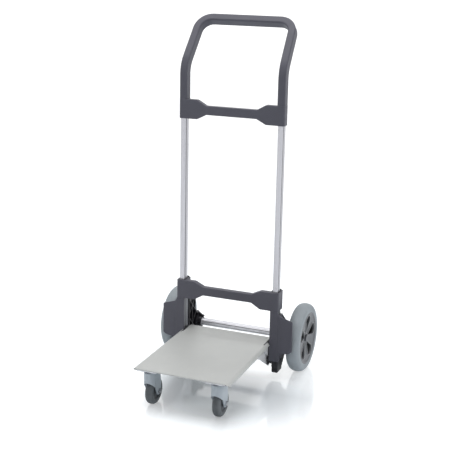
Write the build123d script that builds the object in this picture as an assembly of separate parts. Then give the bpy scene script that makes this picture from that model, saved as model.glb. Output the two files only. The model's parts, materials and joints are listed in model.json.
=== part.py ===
from build123d import *
import os

# Folding platform cart. Millimetres: X to the right seen from the front, Y to the back, Z up from the floor.
# Lengths along Y are first counted from the plane of the handle tubes, and moved to the frame at the end.

# Handle tubes and the rails they slide in
tube_x = 143.0
tube_width = 15.0
tube_depth = 24.0
tube_wall = 1.8
tube_low = 195.0
tube_high = 829.0
groove_width = 2.6
groove_depth = 0.9
groove_y = -6.5
rail_gap = 0.5
rail_wall = 2.0
rail_low = 50.0
rail_high = 251.0

# Handle
leg_width = 22.0
leg_depth = 28.0
leg_round = 4.5
leg_low = 786.0
leg_bend_z = 878.0
leg_bend_radius = 70.0
grip_y = 100.0
grip_z = 999.0
grip_half = 138.0
grip_corner = 40.0
handle_bridge_low = 732.0
handle_bar_low = 746.0
handle_bar_high = 771.0

# Bridges: bar and flared ends, seen from the front
bar_half = 74.0
flare_half = 101.0
bridge_wall = 3.0
base_bridge_low = 206.0
base_bridge_high = 260.0
base_bar_low = 222.0
base_bar_high = 247.0
base_bar_back_y = -4.0
base_front_y = -20.0
socket_inner = 129.0
socket_outer = 156.0
socket_back_y = 22.0

# Post covers with the wing in front of each wheel
post_inner = 133.0
post_outer = 160.0
post_low = 56.0
wing_outer = 199.5
wing_low = 79.0
wing_high = 193.0
cover_wall = 4.5
wing_back = 1.2

# Wheels
wheel_x = 196.0
wheel_y = 88.0
wheel_radius = 100.0
tyre_half = 20.0
rim_radius = 76.0
spoke_count = 5
spoke_turn = 13.0
axle_radius = 6.0
hub_radius = 13.0

# Brackets that carry the wheels behind the posts, and the axle tube between them
bracket_front = 15.0
bracket_inner = 130.0
bracket_outer = 158.0
bracket_low = 24.0
bracket_top = base_bridge_low - 3
bracket_wall = 3.0
bracket_web = 6.0
bracket_step = 137.0
bracket_seat = 5.0
boss_radius = 24.0
sleeve_radius = 16.5
sleeve_end = 119.0
cross_radius = 11.0
cross_wall = 2.6
cross_end = 134.0

# Feet
foot_inner = 142.0
foot_outer = 161.0
foot_low = 21.5
foot_step = 49.0

# Platform
deck_top = 114.0
deck_sheet = 3.0
deck_front_y = -345.0
deck_back_y = 17.0
deck_half = 127.5
tongue_half = 125.0
tongue_step = 1.0
tongue_start_y = -48.0
curl_radius = 9.0
curl_wall = 2.5
ear_inner = 122.0
ear_sheet = 3.0
deck_pin_y = -37.0
deck_pin_z = 100.0
deck_pin_radius = 4.0
deck_lug_radius = 10.5
lug_inner = 127.0
lug_outer = bracket_inner

# Swivel casters
caster_x = 97.0
caster_y = -314.0
caster_trail = 18.0
caster_radius = 37.5
caster_width = 23.5
caster_hub = 24.0
caster_plate = 62.0
caster_bolt_pitch = 40.0
fork_half = 16.5
fork_slot_half = 12.8
fork_top = 100.0
caster_axle_radius = 4.0

# Release keys behind the tubes
key_pin_y = 17.6
key_pin_z = 231.0
key_pin_radius = 1.6
key_top = 262.0

# Fits: a pivot that turns, and pieces set side by side
running = 0.05
clear = 0.3

frame_y = -(deck_front_y + wheel_y + wheel_radius) / 2

parts = {}


def front_solid(face, y_front, y_back):
    """A face drawn in X and Z, made solid from y_front to y_back."""
    return extrude(Plane.XZ.offset(-y_back) * face, y_back - y_front)


def side_solid(face, x_start, x_end):
    """A face drawn in Y and Z, made solid from x_start to x_end."""
    return extrude(Plane.YZ.offset(x_start) * face, x_end - x_start)


def top_solid(face, z_low, z_high):
    """A face drawn in X and Y, made solid from z_low to z_high."""
    return extrude(Plane.XY.offset(z_low) * face, z_high - z_low)


def block(x_range, y_range, z_range):
    """A box between three pairs of limits."""
    size = [high - low for low, high in (x_range, y_range, z_range)]
    middle = [(high + low) / 2 for low, high in (x_range, y_range, z_range)]
    return Pos(*middle) * Box(*size)


def rod_x(radius, x_start, x_end, y, z):
    """A round rod along X."""
    return side_solid(Pos(y, z) * Circle(radius), x_start, x_end)


def rod_z(radius, z_low, z_high, x, y):
    """A round rod along Z."""
    return top_solid(Pos(x, y) * Circle(radius), z_low, z_high)


def rod_y(radius, y_front, y_back, x, z):
    """A round rod along Y."""
    return front_solid(Pos(x, z) * Circle(radius), y_front, y_back)


def outline(*points):
    """A closed face from corner points."""
    return make_face(Polyline(*points, close=True))


def keep(name, solid):
    """Store a piece, moved from the tube plane to the frame of the whole cart."""
    parts[name] = Pos(0, frame_y, 0) * solid


def keep_pair(name, right):
    """Store a right-hand piece and its mirror image on the left."""
    keep(name + "_right", right)
    keep(name + "_left", mirror(right, about=Plane.YZ))


def both_sides(right):
    """A right-hand solid and its mirror image, side by side."""
    return [right, mirror(right, about=Plane.YZ)]


def tube_profile(width, depth, corner):
    return Pos(tube_x, 0) * RectangleRounded(width, depth, corner)


def ribbed_bridge(end_range, bar_range, y_front, y_back):
    """A moulded cross bar with flared ends, hollow and ribbed behind its front wall."""
    end_low, end_high = end_range
    bar_low, bar_high = bar_range
    reach = socket_inner + 8
    corners = [
        (bar_half, bar_high), (flare_half, end_high), (reach, end_high),
        (reach, end_low), (flare_half, end_low), (bar_half, bar_low),
    ]
    left = [(-x, z) for x, z in reversed(corners)]
    face = outline(*corners, *left)
    soft = [v for v in face.vertices() if abs(v.X) < socket_inner]
    face = fillet(soft, 9)
    body = front_solid(face, y_front, y_back)
    rim = body.faces().sort_by(Axis.Y)[0].edges()
    body = fillet([e for e in rim if abs(e.center().X) < reach - 1], 2.0)
    hollow = front_solid(offset(face, -bridge_wall), y_front + bridge_wall, y_back)
    middle = (bar_low + bar_high) / 2
    pitch = (bar_high - bar_low) * 1.4
    count = int(reach * 2 / pitch)
    ribs = []
    for i in range(count):
        x = (i + 0.5 - count / 2) * pitch
        for turn in (45, -45):
            ribs.append(Pos(x, 0, middle) * Rot(0, turn, 0) * Box(1.8, 200, 90))
    ribs = Part() + ribs
    return body - (hollow - (ribs & hollow))


def make_handle():
    right = [(tube_x, 0, leg_low), (tube_x, 0, leg_bend_z), (grip_half, grip_y, grip_z)]
    left = [(-x, y, z) for x, y, z in reversed(right)]
    bends = [leg_bend_radius, grip_corner, grip_corner, leg_bend_radius]
    path = FilletPolyline(*right, *left, radius=bends)
    section = Plane(right[0], x_dir=(1, 0, 0), z_dir=(0, 0, 1)) * RectangleRounded(
        leg_width, leg_depth, leg_round
    )
    loop = sweep(section, path=path)
    socket = top_solid(tube_profile(tube_width + 0.2, tube_depth + 0.2, 2.6), leg_low, tube_high + 1)
    keep("handle_loop", loop - both_sides(socket))

    front, back = -leg_depth / 2 - 0.6, leg_depth / 2 + 0.6
    bridge = ribbed_bridge(
        (handle_bridge_low, leg_low - 0.02), (handle_bar_low, handle_bar_high), front, -1
    )
    end = top_solid(
        Pos(tube_x, (front + back) / 2) * RectangleRounded(leg_width + 1.2, back - front, 6),
        handle_bridge_low,
        leg_low - 0.02,
    )
    bore = tube_profile(tube_width + 0.2, tube_depth + 0.2, 2.6)
    hole = top_solid(bore, handle_bridge_low - 1, leg_low + 1)
    bridge = bridge + both_sides(end) - both_sides(hole)
    screw_heights = (handle_bridge_low + 14, leg_low - 14)
    for z in screw_heights:
        bridge -= both_sides(rod_y(2.6, tube_depth / 2, back + 1, tube_x, z))
    keep("handle_bridge", bridge)

    screws = []
    for z in screw_heights:
        screw = rod_y(2.5, tube_depth / 2 + 0.2, back, tube_x, z) + rod_y(4.6, back, back + 2.6, tube_x, z)
        screws += both_sides(screw)
    keep("handle_screws", Compound(children=screws))


def make_tubes():
    outer = tube_profile(tube_width, tube_depth, 2.5)
    inner = tube_profile(tube_width - 2 * tube_wall, tube_depth - 2 * tube_wall, 1.0)
    grooves = [
        Pos(tube_x + side * tube_width / 2, groove_y) * Rectangle(2 * groove_depth, groove_width)
        for side in (-1, 1)
    ]
    keep_pair("handle_tube", top_solid(outer - inner - grooves, tube_low, tube_high))

    bore = tube_profile(tube_width + 2 * rail_gap, tube_depth + 2 * rail_gap, 2.8)
    shell = tube_profile(
        tube_width + 2 * (rail_gap + rail_wall), tube_depth + 2 * (rail_gap + rail_wall), 3.0
    )
    rail = top_solid(shell - bore, rail_low, rail_high)
    window = block(
        (tube_x - 4.6, tube_x + 4.6), (tube_depth / 2, tube_depth), (key_pin_z - 22, key_pin_z - 6)
    )
    rail -= window
    for z in bracket_screws():
        rail -= rod_y(2.6, tube_depth / 2, tube_depth, tube_x, z)
    keep_pair("post_rail", rail)

    glide = tube_profile(tube_width + 0.7, tube_depth + 0.7, 2.6)
    plug = tube_profile(tube_width - 2 * tube_wall - 0.1, tube_depth - 2 * tube_wall - 0.1, 1.0)
    end_glide = top_solid(glide, tube_low - 4, tube_low) + top_solid(plug, tube_low, tube_low + 22)
    keep_pair("tube_end_glide", end_glide)

    guide_bore = tube_profile(tube_width + 0.3, tube_depth + 0.3, 2.6)
    guide = top_solid(shell - guide_bore, rail_high, base_bridge_high)
    keep_pair("guide_bush", guide)


def make_base():
    bridge = ribbed_bridge(
        (base_bridge_low, base_bridge_high), (base_bar_low, base_bar_high), base_front_y, base_bar_back_y
    )
    middle_x, wide = (socket_inner + socket_outer) / 2, socket_outer - socket_inner
    middle_y, deep = (base_front_y + socket_back_y) / 2, socket_back_y - base_front_y
    socket = top_solid(
        Pos(middle_x, middle_y) * RectangleRounded(wide, deep, 4.5), base_bridge_low, base_bridge_high
    )
    rail_wide = tube_width + 2 * (rail_gap + rail_wall)
    rail_deep = tube_depth + 2 * (rail_gap + rail_wall)
    hole = top_solid(
        tube_profile(rail_wide + 0.1, rail_deep + 0.1, 3.0), base_bridge_low - 1, base_bridge_high + 1
    )
    key_slot = block((tube_x - 8.6, tube_x + 8.6), (tube_depth / 2 + 2, 40), (key_pin_z - 24, 300.0))
    pin_hole = rod_x(key_pin_radius, tube_x - 11.5, tube_x + 11.5, key_pin_y, key_pin_z)
    bridge = bridge + both_sides(socket) - both_sides(hole) - both_sides(key_slot) - both_sides(pin_hole)
    keep("base_bridge", bridge)

    # Front cover of the post, with the wing that stands before the wheel
    cover_top = base_bridge_low - 0.4
    face = outline(
        (post_inner, post_low), (post_outer + 1, post_low), (post_outer + 4, wing_low),
        (wing_outer - 6, wing_low + 7), (wing_outer, wing_low + 13), (wing_outer, wing_high - 12),
        (wing_outer - 8, wing_high - 9), (post_outer + 2, wing_high), (post_outer - 5, cover_top),
        (post_inner, cover_top),
    )
    soft = [v for v in face.vertices() if v.X > post_outer + 1 and v.Y > post_low + 1]
    face = fillet(soft, 4)
    cover = front_solid(face, base_front_y, base_front_y + cover_wall)
    cover -= block((post_outer - 3, wing_outer + 1), (base_front_y - 1, base_front_y + wing_back), (0, 300))
    rim = cover.faces().filter_by(Axis.Y).sort_by(Axis.Y)[1].edges()
    cover = fillet([e for e in rim if e.center().X > post_outer], 1.6)
    cover += block(
        (post_outer - 5, post_outer), (base_front_y + 1, bracket_front - 1), (post_low, wing_high - 1)
    )
    for z in (post_low + 32, (post_low + base_bridge_low) / 2, base_bridge_low - 32):
        cover += block((post_outer - 1, post_outer + 8), (base_front_y + 1, -2.0), (z - 1.2, z + 1.2))
    keep_pair("post_cover", cover)

    keep_pair("base_bracket", make_bracket())
    keep_pair("hinge_lug", make_hinge_lug())
    keep_pair("deck_hinge_pin", make_deck_pin())
    rivets = []
    for y, z in lug_rivet_places():
        rivets += both_sides(rod_x(2.5, lug_inner, post_inner - 0.1, y, z))
    keep("lug_rivets", Compound(children=rivets))

    flutes = [
        Rot(0, 0, 360 / 16 * i) * Pos(cross_radius + 0.3, 0) * Circle(1.1) for i in range(16)
    ]
    ring = Circle(cross_radius) - flutes - Circle(cross_radius - cross_wall)
    keep("cross_tube", side_solid(Pos(wheel_y, wheel_radius) * ring, -cross_end, cross_end))

    foot = block((foot_inner, foot_outer), (base_front_y, bracket_front - 0.4), (foot_low, post_low - 0.1))
    bottom = foot.faces().sort_by(Axis.Z)[0]
    foot = chamfer(bottom.edges(), 3.0)
    foot += block((post_inner, foot_outer), (base_front_y, bracket_front - 0.4), (foot_step, post_low - 0.1))
    foot = fillet([e for e in foot.edges().filter_by(Axis.Z) if e.center().Y < base_front_y + 1], 3.0)
    foot -= block(
        (post_inner - 1, post_inner + rail_wide + 0.1), (-rail_deep / 2 - 0.1, 20.0), (rail_low - 0.1, 100.0)
    )
    plug = tube_profile(tube_width + 2 * rail_gap - 0.2, tube_depth + 2 * rail_gap - 0.2, 2.6)
    keep_pair("foot", foot + top_solid(plug, rail_low - 1, rail_low + 8))

    screws = []
    for z in bracket_screws():
        head_y = bracket_front + bracket_seat
        screw = rod_y(2.5, tube_depth / 2 + rail_gap + 0.2, head_y, tube_x, z)
        screws += both_sides(screw + rod_y(4.4, head_y, head_y + 2.6, tube_x, z))
    keep("base_screws", Compound(children=screws))


def bracket_screws():
    """Heights of the screws that hold a bracket to its rail."""
    return [54.0, 111.0, 168.0]


def lug_rivet_places():
    return [(-10.0, 78.0), (4.0, 88.0)]


def make_bracket():
    """Black bracket behind a rail: a ribbed box, open inwards, running back to the axle."""
    middle = (wheel_y, wheel_radius)
    boss = Pos(*middle) * Circle(boss_radius)
    inner = boss + outline(
        (bracket_front, bracket_low), (bracket_front + 4, bracket_low), (wheel_y - 15, wheel_radius - 18),
        (wheel_y + 14, wheel_radius - 18), (wheel_y + 14, wheel_radius + 18), (wheel_y, wheel_radius + 26),
        (60.0, 148.0), (60.0, 187.0), (46.0, bracket_top), (bracket_front, bracket_top),
    )
    outer = boss + outline(
        (bracket_front, bracket_low - 3), (bracket_front + 3, bracket_low - 3),
        (wheel_y - 13, wheel_radius - 20), (wheel_y + 12, wheel_radius - 20),
        (wheel_y + 12, wheel_radius + 20), (wheel_y - 6, wheel_radius + 37),
        (bracket_front, bracket_top - 12),
    )
    web_x = bracket_outer - bracket_web
    shallow = offset(inner, -bracket_wall)
    deep = shallow & offset(outer, -bracket_wall)
    hollow = side_solid(shallow, bracket_inner - 1, bracket_step - 3)
    hollow += side_solid(deep, bracket_inner - 1, web_x)
    ribs = []
    for z in bracket_screws():
        for turn in (45, -45):
            ribs.append(Pos(bracket_inner + 11, 38, z) * Rot(turn, 0, 0) * Box(22, 2.4, 160))
    ribs.append(block((bracket_inner, web_x), (36.8, 39.2), (111.0, 168.0)))
    body = side_solid(inner, bracket_inner, bracket_step)
    body += side_solid(outer, bracket_step - 1, bracket_outer)
    body = body - (hollow - ribs - rod_x(boss_radius, bracket_inner, web_x, *middle))
    seat = outline(
        (post_inner, bracket_low), (bracket_outer - 2, bracket_low), (bracket_outer, 40.0),
        (bracket_outer, bracket_top - 22), (bracket_outer - 8, bracket_top - 10),
        (bracket_outer - 12, bracket_top), (post_inner, bracket_top),
    )
    body += front_solid(seat, bracket_front, bracket_front + bracket_seat)
    body += block((bracket_inner, post_inner), (base_front_y, bracket_front + 1), (45.0, 112.0))
    body += block((ear_inner - 2, bracket_inner + 1), (deck_back_y - 1, deck_back_y + 11), (34.0, 60.0))
    body += rod_x(sleeve_radius, sleeve_end, bracket_inner + 1, *middle)
    body += rod_x(13.0, bracket_outer - 1, wheel_x - tyre_half - 0.2, *middle)
    tip = sleeve_end - 7
    gusset = make_face(
        [
            ThreePointArc((tip, 119.0), (tip + 12, 124.5), (bracket_inner + 5, 134.0)),
            Line((bracket_inner + 5, 134.0), (bracket_inner + 5, 100.0)),
            Polyline((bracket_inner + 5, 100.0), (sleeve_end, 100.0), (sleeve_end, 112.0), (tip, 119.0)),
        ]
    )
    body += front_solid(gusset, wheel_y - 3, wheel_y + 3)
    body -= rod_x(cross_radius + 0.05, 100.0, cross_end, *middle)
    body -= rod_x(axle_radius, cross_end - 1, wheel_x, *middle)
    for z in bracket_screws():
        body -= rod_y(2.6, 0, bracket_front + bracket_seat, tube_x, z)
    for y, z in lug_rivet_places():
        body -= rod_x(2.5, lug_inner, post_inner + 1, y, z)
    return body


def make_hinge_lug():
    """Steel plate on the inside of a bracket, carrying the pivot of the platform."""
    face = Pos(deck_pin_y, deck_pin_z) * Circle(deck_lug_radius) + outline(
        (12.0, 66.0), (-12.0, 66.0), (deck_pin_y - 7, deck_pin_z - 8),
        (deck_pin_y, deck_pin_z + deck_lug_radius), (12.0, 97.0),
    )
    lug = side_solid(face, lug_inner, lug_outer)
    lug -= rod_x(deck_pin_radius, lug_inner - 1, lug_outer + 1, deck_pin_y, deck_pin_z)
    for y, z in lug_rivet_places():
        lug -= rod_x(2.5, lug_inner - 1, lug_outer + 1, y, z)
    return lug


def make_release_keys():
    low = key_pin_z - 22.5
    arm = outline(
        (15.9, low), (19.2, low), (19.6, key_pin_z + 8), (22.4, key_top), (18.4, key_top),
        (15.9, key_pin_z + 8),
    )
    key = side_solid(arm, tube_x - 5, tube_x + 5)
    tab = outline((18.0, key_top - 8), (21.5, key_top - 8), (22.4, key_top), (18.4, key_top))
    key += side_solid(tab, tube_x - 8, tube_x + 8)
    key += block(
        (tube_x - 4, tube_x + 4), (tube_depth / 2 + 0.7, 16.4), (key_pin_z - 19, key_pin_z - 9)
    )
    key += rod_x(3.1, tube_x - 8, tube_x + 8, key_pin_y, key_pin_z)
    key -= rod_x(key_pin_radius + running, tube_x - 20, tube_x + 20, key_pin_y, key_pin_z)
    keep_pair("release_key", key)
    pin = rod_x(key_pin_radius, tube_x - 11.5, tube_x + 11.5, key_pin_y, key_pin_z)
    keep("release_key_pins", Compound(children=both_sides(pin)))


def make_deck_pin():
    pin = rod_x(deck_pin_radius, ear_inner - 4, lug_outer, deck_pin_y, deck_pin_z)
    return pin + rod_x(7.0, ear_inner - 6, ear_inner - 3.6, deck_pin_y, deck_pin_z)


def make_platform():
    sheet = block((-deck_half, deck_half), (deck_front_y, tongue_start_y), (deck_top - deck_sheet, deck_top))
    tongue = block(
        (-tongue_half, tongue_half),
        (tongue_start_y - 6, deck_back_y),
        (deck_top - deck_sheet - tongue_step, deck_top - tongue_step),
    )
    curl = Circle(curl_radius) - Circle(curl_radius - curl_wall)
    curl &= Pos(curl_radius / 2, 0) * Rectangle(curl_radius, 3 * curl_radius)
    curl = front_solid(Pos(deck_half, deck_top - curl_radius) * curl, deck_front_y, deck_pin_y - 13)
    slant = outline(
        (deck_front_y - 1, deck_top - deck_sheet), (deck_front_y + 29, deck_top - 2 * curl_radius - 0.5),
        (deck_front_y + 29, 60.0), (deck_front_y - 1, 60.0),
    )
    curl -= side_solid(slant, deck_half - 1, deck_half + 20)
    lip = Circle(curl_radius) - Circle(curl_radius - curl_wall)
    lip &= Pos(lug_outer + 0.4 - deck_half + curl_radius / 2, curl_radius / 2) * Rectangle(curl_radius, curl_radius)
    lip = Pos(deck_half, deck_top - curl_radius) * lip
    curl += front_solid(lip, deck_pin_y - 14, deck_pin_y + 9)
    deck = sheet + tongue + both_sides(curl)
    corner = [e for e in deck.edges().filter_by(Axis.Z) if e.center().Y > deck_back_y - 1]
    deck = fillet(corner, 6)
    rivet_places = caster_bolts()
    holes = []
    for x, y in rivet_places:
        sink = Pos(x, y, deck_top - 1.0) * Cone(2.5, 4.5, 2.0)
        holes += both_sides(rod_z(2.5, 90, deck_top - 1, x, y) + sink)
    for hole in holes:
        deck -= hole
    keep("platform_deck", deck)

    # Hinge ears under the sheet: pivot near the top, a long toe that meets the stop on the bracket
    ear_top = deck_top - deck_sheet - tongue_step - 0.2
    face = outline(
        (-118.0, ear_top), (-118.0, 100.0), (-64.0, 73.0), (3.0, 31.0), (11.0, 33.0),
        (deck_back_y - 1.4, 44.0), (deck_back_y - 1.4, ear_top),
    )
    soft = [v for v in face.vertices() if v.Y < 72]
    ear = side_solid(fillet(soft, 5), ear_inner, ear_inner + ear_sheet)
    under = deck_top - deck_sheet
    ear += block((ear_inner - 18, ear_inner + 1), (-118.0, tongue_start_y - 6.5), (under - 4, under))
    ear -= rod_x(6.0, ear_inner - 1, ear_inner + ear_sheet + 1, deck_pin_y, deck_pin_z)
    keep_pair("hinge_ear", ear)
    bush = rod_x(6.0, ear_inner - 0.6, ear_inner + ear_sheet, deck_pin_y, deck_pin_z)
    bush += rod_x(8.5, ear_inner + ear_sheet, lug_inner - clear, deck_pin_y, deck_pin_z)
    bush += rod_x(8.0, ear_inner - 2.6, ear_inner, deck_pin_y, deck_pin_z)
    bush -= rod_x(deck_pin_radius + running, ear_inner - 9, lug_inner + 1, deck_pin_y, deck_pin_z)
    keep_pair("deck_hinge_bush", bush)

    rivets = []
    for x, y in rivet_places:
        rivets += both_sides(countersunk_rivet(x, y, deck_top - deck_sheet - 3))
    keep("caster_rivets", Compound(children=rivets))


def countersunk_rivet(x, y, seat):
    """A rivet with its flush head in the deck and its set end under the seat."""
    shank = rod_z(2.45, seat, deck_top - 0.1, x, y)
    head = Pos(x, y, deck_top - 1.05) * Cone(2.45, 4.35, 1.9)
    return shank + head + rod_z(4.2, seat - 1.6, seat, x, y)


def caster_bolts():
    half = caster_bolt_pitch / 2
    return [(caster_x + a * half, caster_y + b * half) for a in (-1, 1) for b in (-1, 1)]


def make_casters():
    seat = deck_top - deck_sheet
    face = Pos(caster_x, caster_y) * RectangleRounded(caster_plate, caster_plate, 8)
    plate = top_solid(face, seat - 3, seat)
    plate += rod_z(18.5, seat - 4.5, seat - 3, caster_x, caster_y)
    for x, y in caster_bolts():
        plate -= rod_z(2.5, seat - 10, seat + 1, x, y)
        plate -= rod_z(4.6, seat - 10, seat - 3, x, y)
    plate -= rod_z(5.0, seat - 10, seat + 1, caster_x, caster_y)
    keep_pair("caster_plate", plate)

    king = rod_z(5.0, fork_top - 8, seat, caster_x, caster_y)
    king += rod_z(8.0, fork_top - 11, fork_top - 8, caster_x, caster_y)
    keep_pair("caster_king_pin", king)

    ring_low, ring_high = fork_top, seat - 4.5 - 0.1
    ring = rod_z(17.0, ring_low, ring_high, caster_x, caster_y) - rod_z(
        5.0 + running, ring_low - 1, ring_high + 1, caster_x, caster_y
    )
    keep_pair("caster_bearing", ring)

    axle_y = caster_y + caster_trail
    side = outline(
        (caster_y - 25, fork_top), (caster_y - 25, 63.0), (axle_y - 22, 57.0), (axle_y - 8, 29.0),
        (axle_y + 8, 29.0), (axle_y + 13, 60.0), (caster_y + 22, fork_top),
    )
    side = fillet([v for v in side.vertices() if v.Y < fork_top - 1], 5)
    fork = side_solid(side, caster_x - fork_half, caster_x + fork_half)
    hood_y = caster_y - 20 + fork_half
    plan = Pos(caster_x, hood_y) * Circle(fork_half)
    plan += Pos(caster_x, hood_y + 40) * Rectangle(2 * fork_half, 80)
    fork &= top_solid(plan, 0, 200)
    fork = fillet(fork.faces().sort_by(Axis.Z)[-1].edges(), 3.5)
    fork -= rod_y(16.0, caster_y - 40, caster_y, caster_x, 54.5)
    pocket = rod_x(
        caster_radius + 3.5, caster_x - fork_slot_half, caster_x + fork_slot_half, axle_y, caster_radius
    )
    head_room = rod_z(8.6, fork_top - 14, fork_top - 6.5, caster_x, caster_y)
    fork = fork - pocket - head_room
    fork -= rod_z(5.0 + running, 60, fork_top + 1, caster_x, caster_y)
    fork -= rod_x(caster_axle_radius, caster_x - 40, caster_x + 40, axle_y, caster_radius)
    keep_pair("caster_fork", fork)

    axle = rod_x(caster_axle_radius, caster_x - fork_half - 5, caster_x + fork_half, axle_y, caster_radius)
    for x_start, x_end in ((fork_half, fork_half + 3.5), (-fork_half - 4, -fork_half)):
        nut = Pos(axle_y, caster_radius) * RegularPolygon(7.0, 6)
        axle += side_solid(nut, caster_x + x_start, caster_x + x_end)
    keep_pair("caster_axle", axle)

    half, bore = caster_width / 2, caster_axle_radius + running
    hub_profile = outline(
        (bore, -half - 0.6), (9.0, -half - 0.6), (10.0, -half + 3), (caster_hub - 5, -half + 4),
        (caster_hub - 3, -half + 1.5), (caster_hub, -half + 1.5), (caster_hub, half - 1.5),
        (caster_hub - 3, half - 1.5), (caster_hub - 5, half - 4), (10.0, half - 3), (9.0, half + 0.6),
        (bore, half + 0.6),
    )
    keep_pair("caster_hub", wheel_solid(hub_profile, caster_x, axle_y, caster_radius))
    tread = [
        (caster_hub, -half + 1), (caster_radius - 8, -half), (caster_radius - 3.4, -half + 2.2),
        (caster_radius - 1.2, -half + 5),
    ]
    for i in (-1, 0, 1):
        middle, drop = i * 4.0, 0.35 * abs(i)
        tread += [
            (caster_radius - drop, middle - 1.4), (caster_radius - 1.2, middle - 0.7),
            (caster_radius - 1.2, middle + 0.7), (caster_radius - drop, middle + 1.4),
        ]
    tread += [
        (caster_radius - 1.2, half - 5), (caster_radius - 3.4, half - 2.2), (caster_radius - 8, half),
        (caster_hub, half - 1),
    ]
    keep_pair("caster_tyre", wheel_solid(outline(*tread), caster_x, axle_y, caster_radius))


def wheel_solid(profile, x, y, z):
    """A profile of (radius, offset along the axle), turned into a wheel about an axle along X."""
    turned = revolve(Plane(origin=(0, 0, 0), x_dir=(0, 0, 1), z_dir=(0, 1, 0)) * profile, Axis.X)
    return Pos(x, y, z) * turned


def make_wheels():
    outer, half = wheel_radius, tyre_half
    side, corner, edge = outer - 13, outer - 6.3, outer - 2.4
    tyre = make_face(
        [
            Polyline((rim_radius, half - 0.5), (rim_radius, -half + 0.5), (side, -half)),
            ThreePointArc((side, -half), (corner, -half + 2.8), (edge, -half + 8)),
            ThreePointArc((edge, -half + 8), (outer, 0), (edge, half - 8)),
            ThreePointArc((edge, half - 8), (corner, half - 2.8), (side, half)),
            Line((side, half), (rim_radius, half - 0.5)),
        ]
    )
    keep_pair("wheel_tyre", wheel_solid(tyre, wheel_x, wheel_y, wheel_radius))

    # Rim: band under the tyre, dished disc near the outer side, five drop-shaped openings with raised edges
    hub_face = half - 8
    rim_profile = outline(
        (9.0, -half + 1), (hub_radius, -half + 1), (hub_radius + 2, 4.0), (rim_radius - 6, 11.0),
        (rim_radius - 4.5, -half + 0.7), (rim_radius, -half + 0.7), (rim_radius, half - 0.7),
        (rim_radius - 4, half - 0.7), (rim_radius - 7, half - 3), (hub_radius + 5, hub_face - 1),
        (hub_radius, hub_face), (9.0, hub_face),
    )
    rim = wheel_solid(rim_profile, 0, 0, 0)
    root, belly, reach = hub_radius + 6.5, rim_radius - 22.5, rim_radius - 9.5
    spread = 17.5
    gap = make_face(
        [
            ThreePointArc((root, -2.4), (root - 2.4, 0), (root, 2.4)),
            Line((root, 2.4), (belly, spread)),
            ThreePointArc((belly, spread), (reach, 0), (belly, -spread)),
            Line((belly, -spread), (root, -2.4)),
        ]
    )
    gap = fillet([v for v in gap.vertices() if v.X > belly - 1], 5)
    lip_zone = wheel_solid(
        outline(
            (hub_radius + 1, hub_face - 6), (rim_radius - 6, half - 8), (rim_radius - 6, half - 1.2),
            (hub_radius + 1, hub_face + 0.8),
        ),
        0, 0, 0,
    )
    lips, gaps = [], []
    for i in range(spoke_count):
        turn = Rot(spoke_turn + 360 / spoke_count * i, 0, 0)
        lips.append(turn * side_solid(offset(gap, 2.2), -60, 60) & lip_zone)
        gaps.append(turn * side_solid(gap, -60, 60))
    rim = rim + lips - gaps
    keep_pair("wheel_rim", Pos(wheel_x, wheel_y, wheel_radius) * rim)

    bush = rod_x(9.0, wheel_x - half + 0.4, wheel_x + hub_face, wheel_y, wheel_radius)
    bush -= rod_x(axle_radius + running, wheel_x - 40, wheel_x + 40, wheel_y, wheel_radius)
    keep_pair("wheel_bush", bush)

    axle_end = wheel_x + hub_face + 2
    axle = rod_x(axle_radius, cross_end - 1, axle_end, wheel_y, wheel_radius)
    axle += rod_x(cross_radius - cross_wall, cross_end - 24, cross_end, wheel_y, wheel_radius)
    keep_pair("wheel_axle", axle)
    cap = rod_x(10.5, wheel_x + hub_face + clear, axle_end + 3.2, wheel_y, wheel_radius)
    cap = fillet(cap.edges().filter_by(GeomType.CIRCLE).sort_by(Axis.X)[-1], 2.0)
    cap -= rod_x(axle_radius, wheel_x, axle_end, wheel_y, wheel_radius)
    keep_pair("hub_cap", cap)


make_handle()
make_tubes()
make_release_keys()
make_base()
make_platform()
make_casters()
make_wheels()

os.makedirs("parts", exist_ok=True)
for name, solid in parts.items():
    export_step(solid, f"parts/{name}.step")
print(len(parts), "pieces, moved by", frame_y, "mm along Y")
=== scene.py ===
import bpy
import bmesh
import json
import math
from mathutils import Matrix, Vector


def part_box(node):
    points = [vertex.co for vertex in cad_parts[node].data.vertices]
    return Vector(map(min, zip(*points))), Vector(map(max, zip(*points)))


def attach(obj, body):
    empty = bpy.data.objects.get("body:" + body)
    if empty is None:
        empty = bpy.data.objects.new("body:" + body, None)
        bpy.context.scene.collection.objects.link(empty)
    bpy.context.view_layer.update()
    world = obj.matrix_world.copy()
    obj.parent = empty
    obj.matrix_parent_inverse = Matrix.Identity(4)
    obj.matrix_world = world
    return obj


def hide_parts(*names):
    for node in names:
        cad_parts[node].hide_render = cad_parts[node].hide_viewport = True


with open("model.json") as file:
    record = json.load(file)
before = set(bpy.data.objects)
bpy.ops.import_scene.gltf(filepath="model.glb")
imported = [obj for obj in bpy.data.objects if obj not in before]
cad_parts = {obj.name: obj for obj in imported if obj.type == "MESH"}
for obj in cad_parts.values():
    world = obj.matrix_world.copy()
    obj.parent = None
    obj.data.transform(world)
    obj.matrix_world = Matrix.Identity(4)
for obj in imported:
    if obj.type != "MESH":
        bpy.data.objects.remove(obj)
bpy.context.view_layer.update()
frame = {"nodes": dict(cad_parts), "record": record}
nodes = frame["nodes"]


def srgb(colour, gain=1.0):  # screen colour to scene colour, lighter or darker by the gain
    def linear(v):
        v = min(255, v * gain) / 255
        return v / 12.92 if v <= 0.04045 else ((v + 0.055) / 1.055) ** 2.4
    return (*[linear(v) for v in colour], 1.0)


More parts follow.
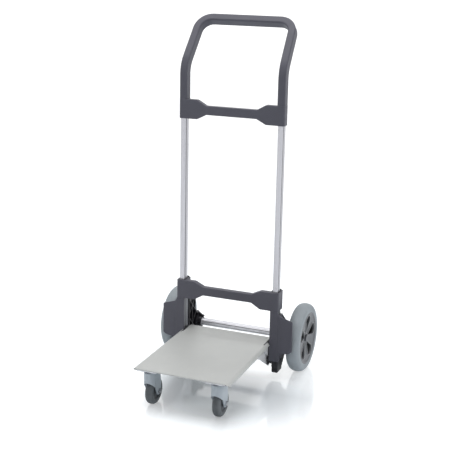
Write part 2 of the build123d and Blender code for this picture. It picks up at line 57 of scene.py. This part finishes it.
class Sock:  # one socket, so shader maths reads as maths
    def __init__(self, shop, out):
        self.shop, self.out = shop, out

    def maths(self, operation, *values):
        return self.shop.add("ShaderNodeMath", {"operation": operation}, dict(enumerate(values)))

    def __add__(self, other):
        return self.maths("ADD", self, other)

    def __radd__(self, other):
        return self.maths("ADD", other, self)

    def __sub__(self, other):
        return self.maths("SUBTRACT", self, other)

    def __rsub__(self, other):
        return self.maths("SUBTRACT", other, self)

    def __mul__(self, other):
        return self.maths("MULTIPLY", self, other)

    def __rmul__(self, other):
        return self.maths("MULTIPLY", other, self)

    def __pow__(self, other):
        return self.maths("POWER", self, other)

    def __abs__(self):
        return self.maths("ABSOLUTE", self)


class Shop:  # the node tree of one material, or of the world
    def __init__(self, owner):
        owner.use_nodes = True
        self.owner, self.tree = owner, owner.node_tree
        self.tree.nodes.clear()

    def add(self, kind, settings=None, sockets=None, out=0):
        node = self.tree.nodes.new(kind)
        for key, value in (settings or {}).items():
            setattr(node, key, value)
        for key, value in (sockets or {}).items():
            if isinstance(value, Sock):
                self.tree.links.new(value.out, node.inputs[key])
            else:
                node.inputs[key].default_value = value
        return Sock(self, node.outputs[out]) if node.outputs else None

    def spot(self):  # the place on the piece, in metres
        return self.add("ShaderNodeTexCoord", out="Object")

    def axis(self, name):  # one coordinate of the spot
        return self.add("ShaderNodeSeparateXYZ", {}, {0: self.spot()}, out=name)

    def noise(self, scale, detail=3.0, rough=0.55, stretch=(1, 1, 1)):
        place = self.add("ShaderNodeMapping", {}, {"Vector": self.spot(), "Scale": stretch})
        return self.add("ShaderNodeTexNoise", {}, {
            "Vector": place, "Scale": scale, "Detail": detail, "Roughness": rough})

    def ramp(self, value, low, high, start=0.0, end=1.0, kind="LINEAR"):  # start at low, end at high
        return self.add("ShaderNodeMapRange", {"clamp": True, "interpolation_type": kind}, {
            "Value": value, "From Min": low, "From Max": high, "To Min": start, "To Max": end})

    def between(self, value, low, high, soft):  # 1 from low to high, 0 outside
        return self.ramp(value, low, low + soft) * self.ramp(value, high, high - soft)

    def blend(self, amount, a, b):  # 6, 7 and 2 are the colour sockets of a Mix node
        return self.add("ShaderNodeMix", {"data_type": "RGBA"}, {0: amount, 6: a, 7: b}, out=2)

    def anyRay(self, *kinds):  # 1 for the named kinds of ray
        rays = [self.add("ShaderNodeLightPath", out=kind) for kind in kinds]
        found = rays[0]
        for ray in rays[1:]:
            found = found.maths("MAXIMUM", found, ray)
        return found

    def rounded(self, radius):  # the normal, turned over the edges
        return self.add("ShaderNodeBevel", {"samples": 6}, {"Radius": radius})

    def edge(self, radius):  # 1 on sharp edges, 0 on flats
        flat = self.add("ShaderNodeNewGeometry", out="Normal")
        same = self.add("ShaderNodeVectorMath", {"operation": "DOT_PRODUCT"}, {
            0: self.rounded(radius), 1: flat}, out="Value")
        return self.ramp(1 - same, 0.01, 0.22)

    def bump(self, height, strength, distance, radius):
        return self.add("ShaderNodeBump", {}, {
            "Height": height, "Strength": strength, "Distance": distance, "Normal": self.rounded(radius)})

    def close(self, **sockets):  # underscores stand for the spaces in socket names
        named = {key.replace("_", " "): value for key, value in sockets.items()}
        shader = self.add("ShaderNodeBsdfPrincipled", {}, named)
        self.add("ShaderNodeOutputMaterial", {}, {"Surface": shader})
        return self.owner


def newShop(name):
    return Shop(bpy.data.materials.new(name))


def reach(a, b):  # distance from a line, by the two offsets from it
    return (a * a + b * b) ** 0.5


axle = (0.1665, 0.1)  # Y and Z of the large wheels' axle

plastic = {  # what all the moulded pieces share
    "cloud": 14, "mottle": 0.35, "dim": 0.9, "cloudRough": 0.1,
    "grainRough": 0.16, "grainBump": (0.22, 0.0006), "specular": 0.3,
}
moulded = {
    "anthracitePlastic": dict(
        plastic, base=(91, 91, 101), edgeWearAndHighlight=(120, 120, 130), edgeShare=0.45, rough=0.46, grain=2600, soft=0.0012),
    "blackPlastic": dict(
        plastic, base=(39, 39, 44), edgeWearAndHighlight=(80, 80, 85), edgeShare=0.55, rough=0.42, grain=2200, soft=0.0009),
    # on the rim the light edge colour is a painted highlight along the spoke edges
    "rimPlastic": dict(
        plastic, base=(122, 124, 129), edgeWearAndHighlight=(208, 210, 212), edgeShare=0.8, rough=0.45, grain=1900, soft=0.0022,
        dishShadow={"middle": 0.2045, "slope": 0.1176, "fade": (-0.0045, -0.0012), "shade": (22, 23, 26)}),
    "casterCore": dict(
        plastic, base=(88, 92, 97), edgeWearAndHighlight=(126, 130, 134), edgeShare=0.45, rough=0.5, grain=2000, soft=0.0010),
    "casterPlastic": dict(
        plastic, base=(197, 206, 214), edgeWearAndHighlight=(214, 220, 225), edgeShare=0.45, rough=0.45, grain=2000, soft=0.0012),
}


def mouldedPlastic(name, look):
    shop = newShop(name)
    cloud = shop.noise(look["cloud"], 4)
    grain = shop.noise(look["grain"], 2, 0.6)
    dim = srgb(look["base"], look["dim"])
    shade = shop.blend(shop.ramp(cloud, 0.3, 0.72) * look["mottle"], srgb(look["base"]), dim)
    # lighter edges: edge wear, and on the rim a painted highlight
    shade = shop.blend(shop.edge(look["soft"]) * look["edgeShare"], shade, srgb(look["edgeWearAndHighlight"]))
    if "dishShadow" in look:  # painted shade below the dished face of the wheels, darkening the walls of the openings
        dishShadow = look["dishShadow"]
        radius = reach(shop.axis("Y") - axle[0], shop.axis("Z") - axle[1])
        face = dishShadow["middle"] + radius * dishShadow["slope"]
        proud = shop.ramp(abs(shop.axis("X")) - face, *dishShadow["fade"])
        shade = shop.blend(proud, srgb(dishShadow["shade"]), shade)
    gloss = (grain - 0.5) * look["grainRough"] + (cloud - 0.5) * look["cloudRough"]
    return shop.close(
        Base_Color=shade, Roughness=look["rough"] + gloss, Specular_IOR_Level=look["specular"],
        Normal=shop.bump(grain, *look["grainBump"], look["soft"]))


aluminium = {
    "base": (182, 182, 187), "dark": (150, 151, 157), "bright": (232, 232, 236), "edgeShare": 0.4, "soft": 0.0005,
    "rough": 0.34, "metallic": 0.85, "cloud": 9, "cloudRough": 0.12,
    "across": 900, "along": 6, "lineShare": 0.5, "lineRough": 0.2, "lineBump": (0.1, 0.0003),  # die lines
}
# the tube look, with near-black painted shade in the grooves on its sides
grooved = dict(aluminium, run="Z", grooveShadow={"side": (0.0704, 0.0736), "soft": 0.0002, "shade": (44, 45, 49)})
metal = {
    "tubeMetal": grooved,
    # the rail's metal is a darker, rougher copy of the tube aluminium; the darker colour is painted shade for
    # the rail's shaded inner face
    "railMetalPaintedShade": dict(grooved, base=(128, 130, 134), dark=(92, 94, 99), rough=0.5),
    # the axle tube, with painted shade in its two middle flutes
    "crossMetal": dict(
        aluminium, run="X", base=(220, 220, 224), dark=(196, 197, 201), rough=0.56,
        fluteShadow={"depth": (0.0109, 0.0104), "height": (0.0024, 0.0054), "soft": 0.0005, "shade": (84, 85, 90)}),
}


def anodised(name, look):
    shop = newShop(name)
    stretch = [look["across"]] * 3
    stretch["XYZ".index(look["run"])] = look["along"]
    lines = shop.noise(1.0, 3, 0.6, stretch)
    cloud = shop.noise(look["cloud"], 3)
    shade = shop.blend(shop.ramp(lines, 0.3, 0.7) * look["lineShare"], srgb(look["base"]), srgb(look["dark"]))
    shade = shop.blend(shop.edge(look["soft"]) * look["edgeShare"], shade, srgb(look["bright"]))
    if "grooveShadow" in look:  # painted shade in the grooves on the sides
        grooveShadow = look["grooveShadow"]
        inside = shop.between(shop.axis("Y"), *grooveShadow["side"], grooveShadow["soft"])
        shade = shop.blend(inside, shade, srgb(grooveShadow["shade"]))
    if "fluteShadow" in look:  # painted shade in the two middle flutes of the axle tube
        fluteShadow = look["fluteShadow"]
        up = shop.axis("Z") - axle[1]
        middle = shop.between(abs(up), *fluteShadow["height"], fluteShadow["soft"])
        inside = shop.ramp(reach(shop.axis("Y") - axle[0], up), *fluteShadow["depth"])
        shade = shop.blend(inside * middle, shade, srgb(fluteShadow["shade"]))
    gloss = (lines - 0.5) * look["lineRough"] + (cloud - 0.5) * look["cloudRough"]
    return shop.close(
        Base_Color=shade, Metallic=look["metallic"], Roughness=look["rough"] + gloss,
        Normal=shop.bump(lines, *look["lineBump"], look["soft"]))


sheet = {
    "base": (205, 207, 205), "dark": (194, 196, 195), "bright": (222, 223, 222), "edgeShare": 0.5, "edge": 0.0007,
    "rough": 0.42, "metallic": 0.1, "cloud": 7, "mottle": 0.6,
    "peel": 520, "peelRough": 0.12, "peelBump": (0.12, 0.0005), "soft": 0.0008,
    "speck": 3200, "speckGain": 1.06, "speckShare": 0.25, "speckBump": 0.4,
    "scuff": (38, 9, 38), "scuffGain": 0.86, "scuffShare": 0.09, "scuffRough": 0.12,
}
coated = {
    "deckCoat": dict(sheet, roll={  # the rolled side edges of the platform, with painted shade inside them
        "out": 0.1275, "up": 0.105, "wall": (0.0084, 0.0070), "soft": 0.0004, "shade": (52, 53, 57)}),
    # the ear is the deck's own sheet, painted lighter than the deck to offset the shade it stands in
    "earCoatPaintedLight": dict(sheet, base=(230, 231, 234), dark=(214, 215, 219), scuffShare=0.144),
}


def coatedSheet(name, look):
    shop = newShop(name)
    cloud = shop.noise(look["cloud"], 5)
    peel = shop.noise(look["peel"], 3)
    speck = shop.noise(look["speck"], 2)
    scuff = shop.noise(1.0, 4, 0.7, look["scuff"])
    base = look["base"]
    shade = shop.blend(shop.ramp(cloud, 0.35, 0.7) * look["mottle"], srgb(base), srgb(look["dark"]))
    shade = shop.blend(
        shop.ramp(speck, 0.58, 0.75) * look["speckShare"], shade, srgb(base, look["speckGain"]))
    shade = shop.blend(
        shop.ramp(scuff, 0.62, 0.78) * look["scuffShare"], shade, srgb(base, look["scuffGain"]))
    shade = shop.blend(shop.edge(look["edge"]) * look["edgeShare"], shade, srgb(look["bright"]))
    if "roll" in look:  # painted shade inside the rolled edges
        roll = look["roll"]
        out, up = abs(shop.axis("X")) - roll["out"], shop.axis("Z") - roll["up"]
        inside = shop.ramp(reach(out, up), *roll["wall"]) * shop.ramp(out, 0.0, roll["soft"])
        shade = shop.blend(inside, shade, srgb(roll["shade"]))
    gloss = (peel - 0.5) * look["peelRough"] + shop.ramp(scuff, 0.55, 0.8) * look["scuffRough"]
    return shop.close(
        Base_Color=shade, Metallic=look["metallic"], Roughness=look["rough"] + gloss,
        Normal=shop.bump(peel + speck * look["speckBump"], *look["peelBump"], look["soft"]))


tread = {  # what both kinds of tyre share
    "cloud": 22, "mottle": 0.6, "cloudRough": 0.16, "dust": 60, "dustGain": 1.12, "dustShare": 0.3,
    "fine": 900, "fineRough": 0.1, "fineBump": (0.25, 0.0006),
}
rubber = {
    "tyreRubber": dict(tread, base=(166, 174, 180), dark=(146, 153, 158), rough=0.62, soft=0.0015),
    "casterRubber": dict(tread, base=(112, 117, 121), dark=(90, 94, 98), rough=0.6, soft=0.0008),
}


def rubberTread(name, look):
    shop = newShop(name)
    cloud = shop.noise(look["cloud"], 5, 0.6)
    fine = shop.noise(look["fine"], 3)
    dust = shop.noise(look["dust"], 4, 0.7)
    base = look["base"]
    shade = shop.blend(shop.ramp(cloud, 0.35, 0.68) * look["mottle"], srgb(base), srgb(look["dark"]))
    shade = shop.blend(shop.ramp(dust, 0.56, 0.8) * look["dustShare"], shade, srgb(base, look["dustGain"]))
    gloss = (cloud - 0.5) * look["cloudRough"] + (fine - 0.5) * look["fineRough"]
    return shop.close(
        Base_Color=shade, Roughness=look["rough"] + gloss,
        Normal=shop.bump(fine, *look["fineBump"], look["soft"]))


zinc = {
    "base": (176, 178, 182), "dark": (134, 136, 142), "bright": (214, 215, 218), "edgeShare": 0.5, "soft": 0.0004,
    "rough": 0.32, "metallic": 0.9, "cloud": 70, "cloudRough": 0.2, "fine": 1500, "fineBump": (0.08, 0.0003),
}
plated = {
    "zincPlate": zinc,
    "capMetal": dict(zinc, base=(112, 114, 119), dark=(82, 84, 89), rough=0.45),  # the dull hub caps
}


def zincPlate(name, look):
    shop = newShop(name)
    cloud = shop.noise(look["cloud"], 4)
    fine = shop.noise(look["fine"], 2)
    shade = shop.blend(shop.ramp(cloud, 0.35, 0.65), srgb(look["base"]), srgb(look["dark"]))
    shade = shop.blend(shop.edge(look["soft"]) * look["edgeShare"], shade, srgb(look["bright"]))
    return shop.close(
        Base_Color=shade, Metallic=look["metallic"],
        Roughness=look["rough"] + (cloud - 0.5) * look["cloudRough"],
        Normal=shop.bump(fine, *look["fineBump"], look["soft"]))


finish = {}
for make, looks in (
        (mouldedPlastic, moulded), (anodised, metal), (coatedSheet, coated),
        (rubberTread, rubber), (zincPlate, plated)):
    finish.update({name: make(name, look) for name, look in looks.items()})
print("finishes:", len(finish))

slotFinish = {
    "anthracite_plastic": "anthracitePlastic", "black_plastic": "blackPlastic", "aluminium": "tubeMetal",
    "deck_sheet": "deckCoat", "ear_steel": "earCoatPaintedLight", "tyre_grey": "tyreRubber", "rim_grey": "rimPlastic",
    "zinc_steel": "zincPlate", "caster_grey": "casterPlastic", "caster_rubber": "casterRubber",
}
ownFinish = {  # nodes that leave their slot's finish
    "cross_tube": "crossMetal", "caster_rivets": "deckCoat",
    "post_rail_left": "railMetalPaintedShade", "post_rail_right": "railMetalPaintedShade",
    "hub_cap_left": "capMetal", "hub_cap_right": "capMetal",
    "caster_hub_left": "casterCore", "caster_hub_right": "casterCore",
}
for entry in frame["record"]["subparts"]:
    piece = nodes[entry["node"]]
    coat = finish[ownFinish.get(entry["node"], slotFinish[entry["material_slot"]])]
    piece.data.materials.clear()
    piece.data.materials.append(coat)
print("nodes dressed")

screws = {
    "handle_screws": {"body": "handle", "rows": 2, "head": 0.0046},
    "base_screws": {"body": "base", "rows": 3, "head": 0.0044},
}
panHead = {
    "flat": 0.5, "shoulder": 0.82, "crown": 0.3, "dome": 0.0006, "tall": 0.0026, "shank": 0.0025, "sides": 20,
    "tiles": 5, "recess": 0.0012, "taper": 0.8,  # the cross recess
    "rowTurn": 0.7, "sideTurn": 0.4,  # so that no two crosses stand alike
}


def only(geom, kind):
    return [g for g in geom if isinstance(g, kind)]


def crossScrew(form, head, length, look):  # pan head facing +Z, with a cross recess and its shank below
    flat, shank = head * look["flat"], look["shank"]
    bmesh.ops.create_grid(form, x_segments=look["tiles"], y_segments=look["tiles"], size=flat)
    tiles = form.faces[:]
    square = [e for e in form.edges if e.is_boundary]
    ring = bmesh.ops.create_circle(form, radius=head * look["shoulder"], segments=look["sides"])["verts"]
    bmesh.ops.translate(form, verts=ring, vec=(0, 0, -look["dome"] * look["crown"]))
    loop = [e for e in form.edges if e.is_wire]
    bmesh.ops.bridge_loops(form, edges=square + loop)
    steps = ((head, look["dome"]), (head, look["tall"]), (shank, look["tall"]), (shank, length))
    for radius, drop in steps:
        loop = only(bmesh.ops.extrude_edge_only(form, edges=loop)["geom"], bmesh.types.BMEdge)
        for v in {v for e in loop for v in e.verts}:
            v.co = Vector((v.co.x, v.co.y, 0)).normalized() * radius - Vector((0, 0, drop))
    bmesh.ops.contextual_create(form, geom=loop)
    centres = {f: f.calc_center_median() for f in tiles}
    halfTile = flat / look["tiles"]
    bars = [f for f, centre in centres.items() if min(abs(centre.x), abs(centre.y)) < halfTile]
    floor = only(bmesh.ops.extrude_face_region(form, geom=bars)["geom"], bmesh.types.BMVert)
    bmesh.ops.delete(form, geom=bars, context="FACES_KEEP_BOUNDARY")
    bmesh.ops.translate(form, verts=floor, vec=(0, 0, -look["recess"]))
    bmesh.ops.scale(form, verts=floor, vec=(look["taper"], look["taper"], 1))


def makeScrews(node, look):
    low, high = (Vector(corner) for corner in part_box(node))
    head = look["head"]
    form = bmesh.new()
    crossScrew(form, head, high.y - low.y, panHead)
    bmesh.ops.rotate(form, verts=form.verts, cent=(0, 0, 0), matrix=Matrix.Rotation(-math.pi / 2, 3, "X"))
    pattern = form.verts[:] + form.edges[:] + form.faces[:]
    step = (high.z - low.z - 2 * head) / (look["rows"] - 1)
    for side in (-1, 1):
        for row in range(look["rows"]):
            moved = only(bmesh.ops.duplicate(form, geom=pattern)["geom"], bmesh.types.BMVert)
            turn = panHead["rowTurn"] * row + panHead["sideTurn"] * side
            bmesh.ops.rotate(form, verts=moved, cent=(0, 0, 0), matrix=Matrix.Rotation(turn, 3, "Y"))
            spot = (side * (high.x - head), high.y, low.z + head + step * row)
            bmesh.ops.translate(form, verts=moved, vec=spot)
    bmesh.ops.delete(form, geom=only(pattern, bmesh.types.BMVert), context="VERTS")
    bmesh.ops.recalc_face_normals(form, faces=form.faces)
    mesh = bpy.data.meshes.new(node + "_cross")
    form.to_mesh(mesh)
    form.free()
    piece = bpy.data.objects.new(node + "_cross", mesh)
    bpy.context.scene.collection.objects.link(piece)
    mesh.materials.append(finish["zincPlate"])
    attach(piece, look["body"])
    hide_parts(node)


for node, look in screws.items():
    makeScrews(node, look)
print("screws:", len(screws), "sets")

view = {
    "azimuth": 21.58, "elevation": 15.15, "roll": 1.08,
    "place": (1.0017, -2.4957, 1.1849), "lens": 81.09, "sensor": 36,
}


def setCamera(look):
    az, el, roll = (math.radians(look[k]) for k in ("azimuth", "elevation", "roll"))
    back = Vector((math.sin(az) * math.cos(el), -math.cos(az) * math.cos(el), math.sin(el)))
    right = Vector((math.cos(az), math.sin(az), 0))
    up = back.cross(right)
    turned = right * math.cos(roll) + up * math.sin(roll)
    raised = up * math.cos(roll) - right * math.sin(roll)
    lens = bpy.data.cameras.new("photoCamera")
    lens.lens, lens.sensor_width = look["lens"], look["sensor"]
    camera = bpy.data.objects.new("photoCamera", lens)
    bpy.context.scene.collection.objects.link(camera)
    facing = Matrix((turned, raised, back)).transposed().to_4x4()
    camera.matrix_world = Matrix.Translation(look["place"]) @ facing
    bpy.context.scene.camera = camera


stage = {
    "size": 60.0, "shade": (0.84, 0.89, 0.93, 1.0), "rough": 0.3, "specular": 0.2,
    "gloss": 0.08, "glossIndex": 2.2,
    "middle": (0.06, -0.02, 0), "near": 0.08, "far": 0.45,  # the shadow fades between these
    "liftNear": 0.05, "liftFar": 0.75, "liftBehind": 0.48, "behind": (-0.03, 0.12),
}


def makeFloor(look):
    mesh = bpy.data.meshes.new("floor")
    form = bmesh.new()
    bmesh.ops.create_grid(form, x_segments=2, y_segments=2, size=look["size"] / 2)
    form.to_mesh(mesh)
    form.free()
    floor = bpy.data.objects.new("floor", mesh)
    bpy.context.scene.collection.objects.link(floor)
    shop = newShop("paleFloor")
    seen = shop.anyRay("Is Camera Ray", "Is Glossy Ray")
    away = shop.add("ShaderNodeVectorMath", {"operation": "DISTANCE"}, {
        0: shop.spot(), 1: look["middle"]}, out="Value")
    lift = shop.ramp(away, look["near"], look["far"], look["liftNear"], look["liftFar"], "SMOOTHSTEP")
    behind = shop.ramp(shop.axis("Y"), *look["behind"])
    lift = lift * (1 - behind) + behind * look["liftBehind"]
    base = shop.add("ShaderNodeBsdfPrincipled", {}, {
        "Base Color": look["shade"], "Roughness": look["rough"], "Specular IOR Level": look["specular"],
        "Coat Weight": 1.0, "Coat Roughness": look["gloss"], "Coat IOR": look["glossIndex"]})
    glow = shop.add("ShaderNodeEmission", {}, {"Color": (1, 1, 1, 1), "Strength": seen * lift})
    both = shop.add("ShaderNodeAddShader", {}, {0: base, 1: glow})
    shop.add("ShaderNodeOutputMaterial", {}, {"Surface": both})
    mesh.materials.append(shop.owner)


lamps = {
    "top": {"place": (-0.3, 0.1, 3.5), "aim": (0, 0, 0.2), "size": 2.4, "power": 62},
    "frontLeft": {"place": (-2.6, -3.2, 2.4), "aim": (0, 0, 0.5), "size": 2.4, "power": 27},
    "right": {"place": (3.6, 0.3, 1.9), "aim": (0, 0, 0.5), "size": 3.4, "power": 42},
}


def makeLights(look):
    for name, lamp in look.items():
        light = bpy.data.lights.new(name, "AREA")
        light.shape, light.size, light.energy = "DISK", lamp["size"], lamp["power"]
        piece = bpy.data.objects.new(name, light)
        piece.location = lamp["place"]
        aim = Vector(lamp["aim"]) - Vector(lamp["place"])
        piece.rotation_euler = aim.to_track_quat("-Z", "Y").to_euler()
        bpy.context.scene.collection.objects.link(piece)


studio = {"white": 1.0, "ambient": 0.22}  # as the camera and the gloss see it, and as it lights the cart


def makeWorld(look):
    world = bpy.data.worlds.new("studio")
    bpy.context.scene.world = world
    shop = Shop(world)
    seen = shop.anyRay("Is Camera Ray", "Is Glossy Ray", "Is Transmission Ray")
    level = shop.ramp(seen, 0.0, 1.0, look["ambient"], look["white"])
    sky = shop.add("ShaderNodeBackground", {}, {"Color": (1, 1, 1, 1), "Strength": level})
    shop.add("ShaderNodeOutputWorld", {}, {"Surface": sky})


setCamera(view)
makeFloor(stage)
makeLights(lamps)
makeWorld(studio)
bpy.context.scene.view_settings.view_transform = "Standard"
print("stage set")
